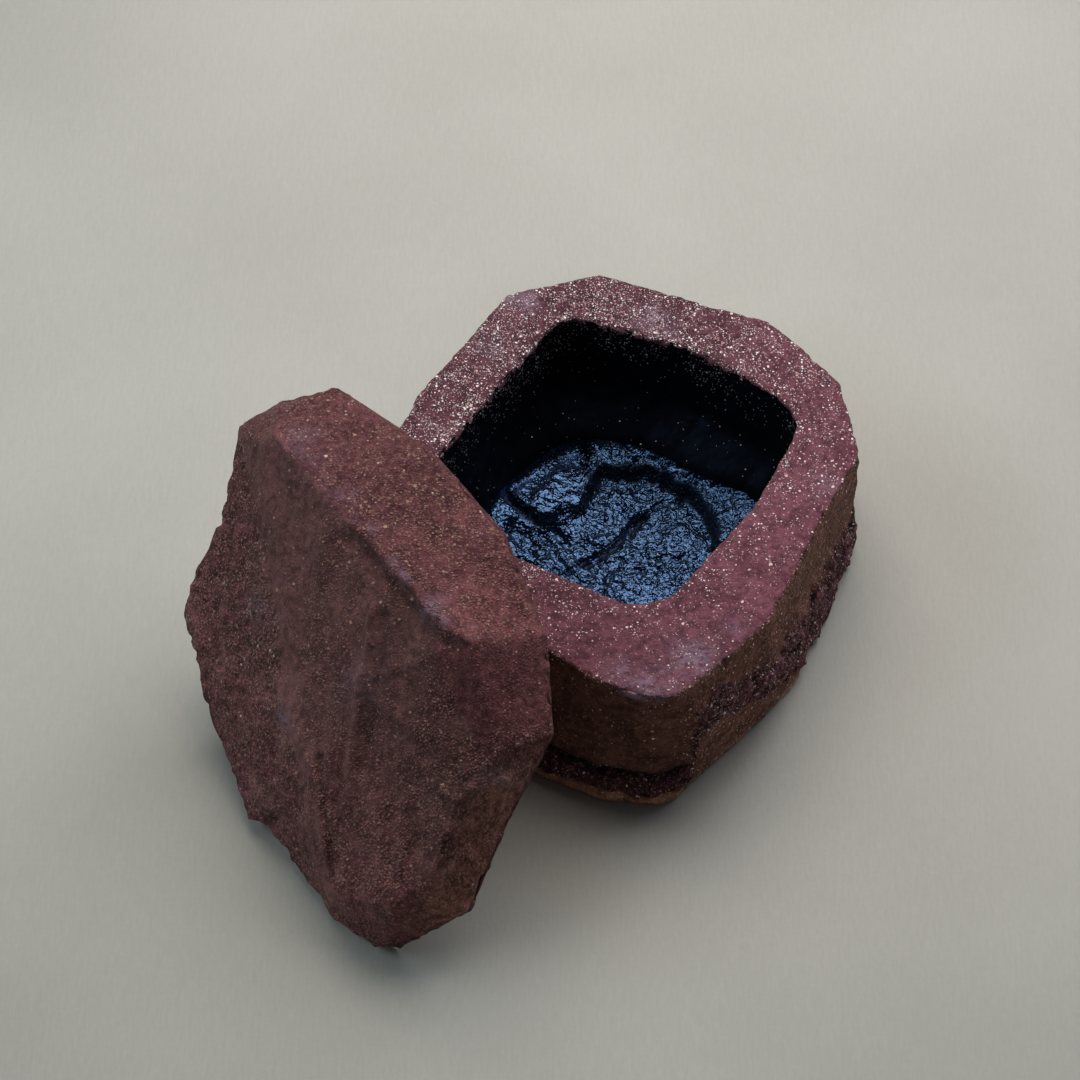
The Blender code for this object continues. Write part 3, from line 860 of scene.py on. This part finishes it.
    attributes = {}
    cloud = noise(points, 6.0, 130, 3)
    red = np.maximum(red_facet, 1.0 * dark_red)
    red = np.maximum(red, left * (0.55 + 0.35 * cloud))
    red = np.maximum(red, np.clip(0.26 + 0.32 * cloud + 0.18 * wide, 0.0, 1.0) * main)
    red = np.maximum(red, steep * (0.25 + 0.4 * noise(np.column_stack((a, b / 6.0, h)), 1.2, 131)))
    red = np.where(hidden, 0.85, red)
    red = np.where(girdle_, 0.45, red)
    red = red * (1.0 - 0.7 * smooth_top * (1.0 - red_facet))
    attributes["red"] = red
    attributes["rough"] = np.where(outside, np.clip(torn + 0.40 * red_facet + 0.25, 0, 1), 0.5)
    attributes["rust"] = 0.22 * steep
    streak = np.clip(0.34 + 0.50 * wide + 0.35 * cloud, 0.0, 0.85)
    sand = np.maximum(np.maximum(1.0 * left, 0.68 * grainy), np.maximum(red_facet * (0.30 + 0.42 * ease(a, -22.0, 5.0)), main * streak * (1.0 - 0.5 * dark_red)))
    attributes["sand"] = np.where(outside, np.maximum(sand, 0.5 * steep) * (1.0 - 0.75 * smooth_top), 0.25)
    # painted highlight: a pale lilac streak along the crease under the red facet and pale lilac spots on the ridges;
    # the spots on the red facet and the main face are pale lilac patches
    strip = np.exp(-((b - red_line - 1.1) / 1.3) ** 2) * (a > -40) * (a < 22) * outside
    lilac_and_painted_highlight = 0.8 * strip * np.clip(0.05 + 0.7 * noise(points, 3.5, 132, 2), 0.0, 1.0)
    for cx, cy, radius, amount in ((-26.0, 59.0, 2.6, 0.36), (-20.0, 57.6, 2.2, 0.30), (-11.5, 56.4, 2.0, 0.30),
                                   (14.3, 52.3, 2.0, 0.85), (0.4, 21.1, 2.0, 0.8), (37.4, 36.4, 1.6, 0.5),
                                   (10.0, 35.0, 4.0, 0.25), (-16.0, 32.0, 3.0, 0.35)):
        lilac_and_painted_highlight = np.maximum(lilac_and_painted_highlight, amount * spot(a, b, cx, cy, radius) * outside)
    attributes["lilac_and_painted_highlight"] = lilac_and_painted_highlight * np.clip(0.8 + 0.7 * noise(points, 1.8, 133, 2), 0, 1.2)
    attributes["grain"] = np.where(outside, 0.14 + 0.24 * red_facet + 0.30 * left + 0.12 * grainy - 0.08 * smooth_top, 0.3)
    attributes["soot"] = np.zeros(len(points))
    attributes["pool"] = np.zeros(len(points))
    # painted light: the lower part of the lid, the right end of the red facet, the steep facet and the left band are
    # lightened in colour
    attributes["dust_and_painted_light"] = outside * np.clip(1.0 * (1.0 - ease(b, 10.0, 38.0)) + 0.70 * ease(a, -12.0, 18.0) * red_facet + 0.8 * steep + 0.30 * left, 0.0, 1.0)
    # painted shade: the clay is darkened along the lid's grooves
    painted_shade = np.zeros(len(points))
    for line, depth, width in LID_GROOVES:
        painted_shade = np.maximum(painted_shade, 0.6 * min(0.8, depth) * np.exp(-(line_distance(a, b, line) / width) ** 2))
    attributes["painted_shade"] = painted_shade * outside * (1.0 - red_facet)

    points = lean(points)
    points[:, 2] = np.maximum(points[:, 2], 0.02)
    slots = [np.zeros(len(f)) for f in faces]
    return make_mesh("stoneware_lid", points, faces, attributes, [clay], slots)


# ---------------------------------------------------------------- materials

class Graph:
    """Short names for putting a node material together."""

    def __init__(self, name):
        self.material = bpy.data.materials.new(name)
        self.material.use_nodes = True
        self.tree = self.material.node_tree
        self.shader = self.tree.nodes["Principled BSDF"]
        self.coord = self.new("ShaderNodeTexCoord").outputs["Object"]

    def new(self, kind, **settings):
        node = self.tree.nodes.new(kind)
        for key, value in settings.items():
            setattr(node, key, value)
        return node

    def put(self, socket, value):
        if isinstance(value, bpy.types.NodeSocket):
            self.tree.links.new(value, socket)
        else:
            socket.default_value = value

    def math(self, operation, a, b=None, c=None, clamp=False):
        node = self.new("ShaderNodeMath", operation=operation, use_clamp=clamp)
        for socket, value in zip(node.inputs, (a, b, c)):
            if value is not None:
                self.put(socket, value)
        return node.outputs[0]

    def mix(self, factor, a, b, blend="MIX"):
        node = self.new("ShaderNodeMix", data_type="RGBA", blend_type=blend)
        self.put(node.inputs[0], factor)
        for socket, value in ((node.inputs[6], a), (node.inputs[7], b)):
            self.put(socket, (*value, 1.0) if isinstance(value, tuple) and len(value) == 3 else value)
        return node.outputs[2]

    def span(self, value, low, high, out_low=0.0, out_high=1.0, smooth=True):
        node = self.new("ShaderNodeMapRange", interpolation_type="SMOOTHSTEP" if smooth else "LINEAR")
        for key, v in (("Value", value), ("From Min", low), ("From Max", high),
                       ("To Min", out_low), ("To Max", out_high)):
            self.put(node.inputs[key], v)
        return node.outputs[0]

    def noise(self, size_mm, detail=2.0, roughness=0.5, vector=None, distortion=0.0):
        node = self.new("ShaderNodeTexNoise")
        self.put(node.inputs["Vector"], vector or self.coord)
        node.inputs["Scale"].default_value = 1000.0 / size_mm
        node.inputs["Detail"].default_value = detail
        node.inputs["Roughness"].default_value = roughness
        node.inputs["Distortion"].default_value = distortion
        return node

    def cells(self, size_mm, vector=None):
        node = self.new("ShaderNodeTexVoronoi")
        self.put(node.inputs["Vector"], vector or self.coord)
        node.inputs["Scale"].default_value = 1000.0 / size_mm
        parts = self.new("ShaderNodeSeparateColor")
        self.put(parts.inputs[0], node.outputs["Color"])
        return node.outputs["Distance"], parts.outputs

    def attribute(self, name):
        return self.new("ShaderNodeAttribute", attribute_name=name).outputs["Fac"]

    def bump(self, height, distance_mm, strength, normal=None):
        node = self.new("ShaderNodeBump")
        node.inputs["Strength"].default_value = strength
        node.inputs["Distance"].default_value = distance_mm * MM
        self.put(node.inputs["Height"], height)
        if normal is not None:
            self.put(node.inputs["Normal"], normal)
        return node.outputs[0]


def grains(g, size_mm, density, small, large, vector, core=0.62):
    """Scattered round grains: how much of one is here, and three random numbers of its own."""
    distance, own = g.cells(size_mm, vector)
    size = g.span(own[0], 0.0, 1.0, small, large, smooth=False)
    inner = g.math("MULTIPLY", size, core)
    body = g.span(distance, inner, size, 1.0, 0.0)
    chosen = g.math("LESS_THAN", own[1], density)
    return g.math("MULTIPLY", body, chosen), own


def clay_material(name, brown, red_pair, tones, sizes, core, tan, crevice_shade, sand_size, crown_highlight_gain):
    g = Graph(name)
    red, rough, rust = g.attribute("red"), g.attribute("rough"), g.attribute("rust")
    lilac_and_painted_highlight, grain, sand = g.attribute("lilac_and_painted_highlight"), g.attribute("grain"), g.attribute("sand")
    soot, painted_shade, dust_and_painted_light = g.attribute("soot"), g.attribute("painted_shade"), g.attribute("dust_and_painted_light")

    jitter = g.noise(0.5, 1.0).outputs["Color"]
    offset = g.new("ShaderNodeVectorMath", operation="SUBTRACT")
    g.put(offset.inputs[0], jitter)
    offset.inputs[1].default_value = (0.5, 0.5, 0.5)
    push = g.new("ShaderNodeVectorMath", operation="SCALE")
    g.put(push.inputs[0], offset.outputs[0])
    push.inputs["Scale"].default_value = 0.00040
    vector = g.new("ShaderNodeVectorMath", operation="ADD")
    g.put(vector.inputs[0], g.coord)
    g.put(vector.inputs[1], push.outputs[0])
    warped = vector.outputs[0]

    broad = g.noise(7.0, 3.0, 0.6).outputs["Fac"]
    mottle = g.noise(1.3, 3.0, 0.6).outputs["Fac"]
    grit = g.noise(0.33, 2.0, 0.6).outputs["Fac"]

    # the clay itself: dusty red where it was cut flat, brown where the knife smeared it
    red_edge = g.math("ADD", red, g.math("MULTIPLY", g.math("SUBTRACT", mottle, 0.5), 0.55))
    red_part = g.span(red_edge, 0.22, 0.78)
    blotch = g.span(g.math("ADD", g.math("MULTIPLY", mottle, 0.6), g.math("MULTIPLY", broad, 0.4)), 0.36, 0.64)
    red_clay = g.mix(blotch, *red_pair)
    brown_clay = g.mix(blotch, *brown)
    rust_clay = g.mix(blotch, (0.260, 0.115, 0.072), (0.600, 0.300, 0.180))
    colour = g.mix(red_part, brown_clay, red_clay)
    colour = g.mix(g.math("MULTIPLY", rust, 0.85), colour, rust_clay)
    # painted shade: the low spots of the rough clay and the places marked with painted shade are darkened; painted
    # light: where the dust mask is high the colour is lightened; the grit flecks are the clay's own tone
    dark = g.math("SUBTRACT", 1.0, g.math("MULTIPLY", rough, g.span(mottle, 0.30, 0.58, crevice_shade, 0.0)))
    dark = g.math("MULTIPLY", dark, g.math("SUBTRACT", 1.0, g.math("MULTIPLY", painted_shade, 0.80)))
    fleck = g.math("MULTIPLY_ADD", g.math("SUBTRACT", g.span(grit, 0.30, 0.70, 0.72, 1.28), 1.0),
                   g.math("SUBTRACT", 1.0, g.math("MULTIPLY", dust_and_painted_light, 0.45)), 1.0)
    dark = g.math("MULTIPLY", dark, fleck)
    dark = g.math("MULTIPLY", dark, g.math("ADD", 1.0, g.math("MULTIPLY", dust_and_painted_light, 0.70)))

    # sandy skin: close-set soft bumps, with a painted highlight in tan on their tops and painted shade between them
    sand_distance, sand_own = g.cells(sand_size, warped)
    coarse_distance, coarse_own = g.cells(sand_size * 1.75, warped)
    coarse = g.math("MULTIPLY", g.span(coarse_distance, 0.10, 0.46, 1.0, 0.0), g.math("GREATER_THAN", coarse_own[1], 0.50))
    small_dome = g.span(sand_distance, 0.10, 0.60, 1.0, 0.0)
    dome = g.math("MAXIMUM", small_dome, coarse)
    sandy = g.math("MULTIPLY", sand, g.span(g.noise(2.6, 3.0, 0.6).outputs["Fac"], 0.34, 0.62, 0.30, 1.35), clamp=True)
    lit = g.math("MAXIMUM", g.math("MULTIPLY", small_dome, g.span(sand_own[1], 0.30, 0.85)), g.math("MULTIPLY", coarse, g.span(coarse_own[2], 0.1, 0.8)))
    painted_crown_highlight = g.math("MULTIPLY", lit, sandy)
    painted_gap_shade = g.math("MULTIPLY", g.math("MULTIPLY", g.span(sand_distance, 0.30, 0.74), g.math("SUBTRACT", 1.0, coarse)), sandy)
    dark = g.math("MULTIPLY", dark, g.math("SUBTRACT", 1.0, g.math("MULTIPLY", painted_gap_shade, 0.62)))
    grey = g.new("ShaderNodeCombineColor")
    for socket in grey.inputs[:3]:
        g.put(socket, dark)
    colour = g.mix(1.0, colour, grey.outputs[0], "MULTIPLY")
    colour = g.mix(g.math("MULTIPLY", g.math("MULTIPLY", painted_crown_highlight, crown_highlight_gain), g.span(grit, 0.3, 0.7, 0.65, 1.25), clamp=True), colour, tan)
    # lilac tint: on the lid a painted highlight along the crease under the red facet and on the ridges; on the box,
    # pale lilac patches on the rim
    lilac_highlight_haze = g.math("MULTIPLY", lilac_and_painted_highlight, g.span(g.noise(0.9, 3.0, 0.65).outputs["Fac"], 0.30, 0.62), clamp=True)
    colour = g.mix(g.math("MULTIPLY", lilac_highlight_haze, 0.85), colour, (0.30, 0.205, 0.275))

    black = g.math("MULTIPLY", soot, g.span(grit, 0.25, 0.6, 0.7, 1.0), clamp=True)
    colour = g.mix(black, colour, (0.006, 0.006, 0.008))

    # grog: fine sparkle, ordinary grains and a few large ones; the whitest grains are partly pale grog and partly
    # painted glints
    patchy = g.span(g.noise(3.0, 2.0).outputs["Fac"], 0.32, 0.68, 0.42, 1.55)
    density = g.math("MULTIPLY", grain, patchy)
    fine, fine_own = grains(g, sizes[0], g.math("MULTIPLY", density, g.span(dust_and_painted_light, 0.0, 0.9, 1.0, 0.55)), 0.26, 0.50, warped, core)
    normal_, normal_own = grains(g, sizes[1], g.math("MULTIPLY", density, 0.70), 0.20, 0.44, warped, core)
    large, large_own = grains(g, sizes[2], g.math("MULTIPLY", density, 0.34), 0.14, 0.31, warped, core)
    crowd = g.span(grain, 0.20, 0.66, 0.14, 1.0)

    def tone(own):
        warm = g.mix(g.span(own[2], 0.0, 0.55), tones[0], tones[1])
        return g.mix(g.math("MULTIPLY", g.span(own[2], tones[3], 1.0), crowd), warm, tones[2])

    colour = g.mix(g.math("MULTIPLY", fine, tones[4]), colour, tone(fine_own))
    colour = g.mix(g.math("MULTIPLY", normal_, tones[5]), colour, tone(normal_own))
    colour = g.mix(large, colour, tone(large_own))
    g.put(g.shader.inputs["Base Color"], colour)

    any_grain = g.math("MAXIMUM", g.math("MAXIMUM", fine, normal_), large)
    g.put(g.shader.inputs["Roughness"], g.span(any_grain, 0.0, 1.0, 0.86, 0.46, smooth=False))
    g.shader.inputs["Specular IOR Level"].default_value = 0.20
    g.shader.inputs["Sheen Weight"].default_value = 0.03
    g.shader.inputs["Sheen Roughness"].default_value = 0.6
    g.shader.inputs["Sheen Tint"].default_value = (0.75, 0.55, 0.65, 1.0)

    height = g.math("MULTIPLY", grit, 0.35)
    height = g.math("ADD", height, g.math("MULTIPLY", g.math("MULTIPLY", mottle, rough), 0.9))
    height = g.math("ADD", height, g.math("MULTIPLY", any_grain, 0.28))
    height = g.math("ADD", height, g.math("MULTIPLY", g.math("MULTIPLY", dome, sandy), 0.80))
    g.put(g.shader.inputs["Normal"], g.bump(height, 0.36, 0.9))
    return g.material


def glaze_material(name, ior, specular, roughness, depth, pooled):
    g = Graph(name)
    dust_and_painted_light, pool = g.attribute("dust_and_painted_light"), g.attribute("pool")
    cloud = g.noise(2.4, 3.0, 0.6).outputs["Fac"]
    colour = g.mix(g.span(cloud, 0.3, 0.7), (0.0018, 0.0018, 0.0028), (0.0034, 0.0037, 0.0062))
    patchy = g.span(g.noise(4.0, 2.0).outputs["Fac"], 0.35, 0.65, 0.25, 1.7)
    density = g.math("MULTIPLY", g.math("MULTIPLY", g.math("POWER", dust_and_painted_light, 2.0), 0.58), patchy)
    density = g.math("ADD", density, 0.030)
    fine, fine_own = grains(g, 0.40, density, 0.22, 0.46, g.coord)
    large, large_own = grains(g, 0.90, g.math("MULTIPLY", density, 0.5), 0.12, 0.28, g.coord)
    speck = g.math("MAXIMUM", fine, large)
    tone = g.mix(fine_own[2], (0.18, 0.15, 0.12), (0.75, 0.70, 0.68))
    colour = g.mix(g.math("MULTIPLY", speck, 0.80), colour, tone)
    g.put(g.shader.inputs["Base Color"], colour)
    spread_ = g.math("MULTIPLY", g.span(g.attribute("painted_shade"), 0.10, 0.60), 0.26)
    g.put(g.shader.inputs["Roughness"], g.math("ADD", g.span(g.noise(0.8, 2.0).outputs["Fac"], 0.3, 0.7, *roughness), spread_))
    g.shader.inputs["IOR"].default_value = ior
    g.shader.inputs["Specular IOR Level"].default_value = specular
    g.shader.inputs["Specular Tint"].default_value = (0.26, 0.51, 1.0, 1.0)
    if pooled:
        # puddled and bubbled: a bright, broken blue sheen
        pit_distance, pit_own = g.cells(1.20)
        pit = g.math("MULTIPLY", g.span(pit_distance, 0.06, 0.34, 1.0, 0.0), g.math("LESS_THAN", pit_own[1], 0.55))
        small_distance, small_own = g.cells(0.66)
        small = g.span(small_distance, 0.10, 0.50, 1.0, 0.0)
        skin = g.math("ADD", g.math("MULTIPLY", g.noise(1.5, 1.0, 0.4).outputs["Fac"], 0.62),
                      g.math("MULTIPLY", g.noise(0.56, 1.0, 0.4).outputs["Fac"], 0.44))
        height = g.math("SUBTRACT", skin, g.math("MULTIPLY", pit, 0.42))
        height = g.math("SUBTRACT", height, g.math("MULTIPLY", small, 0.12))
        height = g.math("MULTIPLY", height, pool)
    else:
        skin = g.noise(1.6, 2.0, 0.5).outputs["Fac"]
        height = g.math("ADD", g.math("MULTIPLY", skin, 0.5), g.math("MULTIPLY", speck, 0.3))
    g.put(g.shader.inputs["Normal"], g.bump(height, depth, 1.0))
    return g.material


def paper_material():
    g = Graph("table_paper")
    stretched = g.new("ShaderNodeVectorMath", operation="MULTIPLY")
    g.put(stretched.inputs[0], g.coord)
    stretched.inputs[1].default_value = (1.0, 0.16, 1.0)
    fibre = g.math("ADD", g.math("MULTIPLY", g.noise(0.55, 3.0, 0.65, stretched.outputs[0]).outputs["Fac"], 0.6),
                   g.math("MULTIPLY", g.noise(0.9, 3.0, 0.65).outputs["Fac"], 0.4))
    cloud = g.noise(60.0, 2.0).outputs["Fac"]
    tone = g.span(g.math("ADD", g.math("MULTIPLY", fibre, 0.5), g.math("MULTIPLY", cloud, 0.5)), 0.3, 0.7)
    # painted shade: the sheet darkens by up to 12 % towards its corners, a painted falloff of the light
    place = g.new("ShaderNodeSeparateXYZ")
    g.put(place.inputs[0], g.coord)
    across = g.math("POWER", g.math("DIVIDE", g.math("ABSOLUTE", place.outputs[0]), 0.10), 2.0)
    deep = g.math("POWER", g.math("DIVIDE", g.math("ABSOLUTE", g.math("SUBTRACT", place.outputs[1], 0.02)), 0.12), 2.0)
    corner = g.span(g.math("MULTIPLY", across, deep), 0.0, 1.6, 0.0, 0.12, smooth=False)
    sheet = g.mix(tone, (0.470, 0.458, 0.408), (0.540, 0.527, 0.474))
    g.put(g.shader.inputs["Base Color"], g.mix(corner, sheet, (0.0, 0.0, 0.0)))
    g.shader.inputs["Roughness"].default_value = 0.9
    g.shader.inputs["Specular IOR Level"].default_value = 0.2
    g.put(g.shader.inputs["Normal"], g.bump(fibre, 0.16, 0.6))
    return g.material


# ---------------------------------------------------------------- assembly

clay = clay_material("clay_carved",
                     ((0.080, 0.031, 0.021), (0.215, 0.090, 0.064)),
                     ((0.072, 0.0215, 0.032), (0.144, 0.050, 0.068)),
                     ((0.46, 0.22, 0.21), (0.96, 0.68, 0.63), (1.0, 0.98, 0.98), 0.14, 0.70, 1.0),
                     (0.29, 0.56, 1.15), 0.74, (0.33, 0.17, 0.13), 0.70, 0.60, 0.70)
# the second and third glazes are copies of the first with less reflection: painted shade for the cavity's walls and for
# the marked hollows of the floor
body = build_body(clay, [glaze_material("glaze_pooled", 1.70, 1.0, (0.11, 0.22), 0.72, True),
                         glaze_material("glaze_wall_shaded", 1.5, 0.09, (0.38, 0.52), 0.30, False),
                         glaze_material("glaze_hollow_shaded", 1.5, 0.50, (0.20, 0.34), 0.66, True)])
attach(body, "box")
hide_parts("box_body")

lid = build_lid(clay_material("clay_carved_lid",
                              ((0.092, 0.040, 0.039), (0.184, 0.081, 0.077)),
                              ((0.086, 0.025, 0.030), (0.178, 0.063, 0.067)),
                              ((0.25, 0.120, 0.080), (0.42, 0.26, 0.18), (0.95, 0.86, 0.82), 0.90, 0.70, 0.90),
                              (0.50, 0.85, 1.6), 0.40, (0.42, 0.250, 0.180), 0.40, 0.47, 0.72))
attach(lid, "lid")
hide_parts("lid")

table_mesh = bpy.data.meshes.new("table_sheet")
half = 2.5
table_mesh.from_pydata([(-half, -half, -0.0001), (half, -half, -0.0001), (half, half, -0.0001), (-half, half, -0.0001)],
                       [], [(0, 1, 2, 3)])
table_mesh.materials.append(paper_material())
table = bpy.data.objects.new("table_sheet", table_mesh)
bpy.context.scene.collection.objects.link(table)

# ---------------------------------------------------------------- light, camera


def area_light(name, location, target, size, power, colour):
    data = bpy.data.lights.new(name, "AREA")
    data.shape = "RECTANGLE"
    data.size, data.size_y = size
    data.energy = power
    data.color = colour
    obj = bpy.data.objects.new(name, data)
    bpy.context.scene.collection.objects.link(obj)
    from mathutils import Vector
    obj.location = location
    obj.rotation_euler = (Vector(target) - Vector(location)).to_track_quat("-Z", "Y").to_euler()
    return obj


area_light("back_window", (0.02, 0.24, 0.46), (0.0, 0.0, 0.0), (0.50, 0.42), 2.3, (1.0, 0.94, 0.90))
area_light("right_window", (0.35, 0.35, 0.45), (0.0, 0.0, 0.0), (0.50, 0.40), 1.35, (0.80, 0.88, 1.0))
area_light("left_bounce", (-0.60, 0.0, 0.40), (0.0, 0.0, 0.0), (0.50, 0.50), 1.45, (0.76, 0.92, 1.0))

world = bpy.data.worlds.new("studio")
world.use_nodes = True
world.node_tree.nodes["Background"].inputs["Color"].default_value = (0.86, 0.94, 1.0, 1.0)
world.node_tree.nodes["Background"].inputs["Strength"].default_value = 0.055
bpy.context.scene.world = world

camera_data = bpy.data.cameras.new("photo_camera")
camera_data.sensor_width = 36.0
camera_data.lens = 133.33
camera_data.clip_start = 0.01
camera_data.clip_end = 20.0
camera = bpy.data.objects.new("photo_camera", camera_data)
bpy.context.scene.collection.objects.link(camera)
camera.location = (-0.01339, -0.44628, 0.54298)
camera.rotation_euler = (math.radians(40.0), 0.0, 0.0)
bpy.context.scene.camera = camera

bpy.context.scene.view_settings.view_transform = "Standard"
bpy.context.scene.view_settings.look = "None"
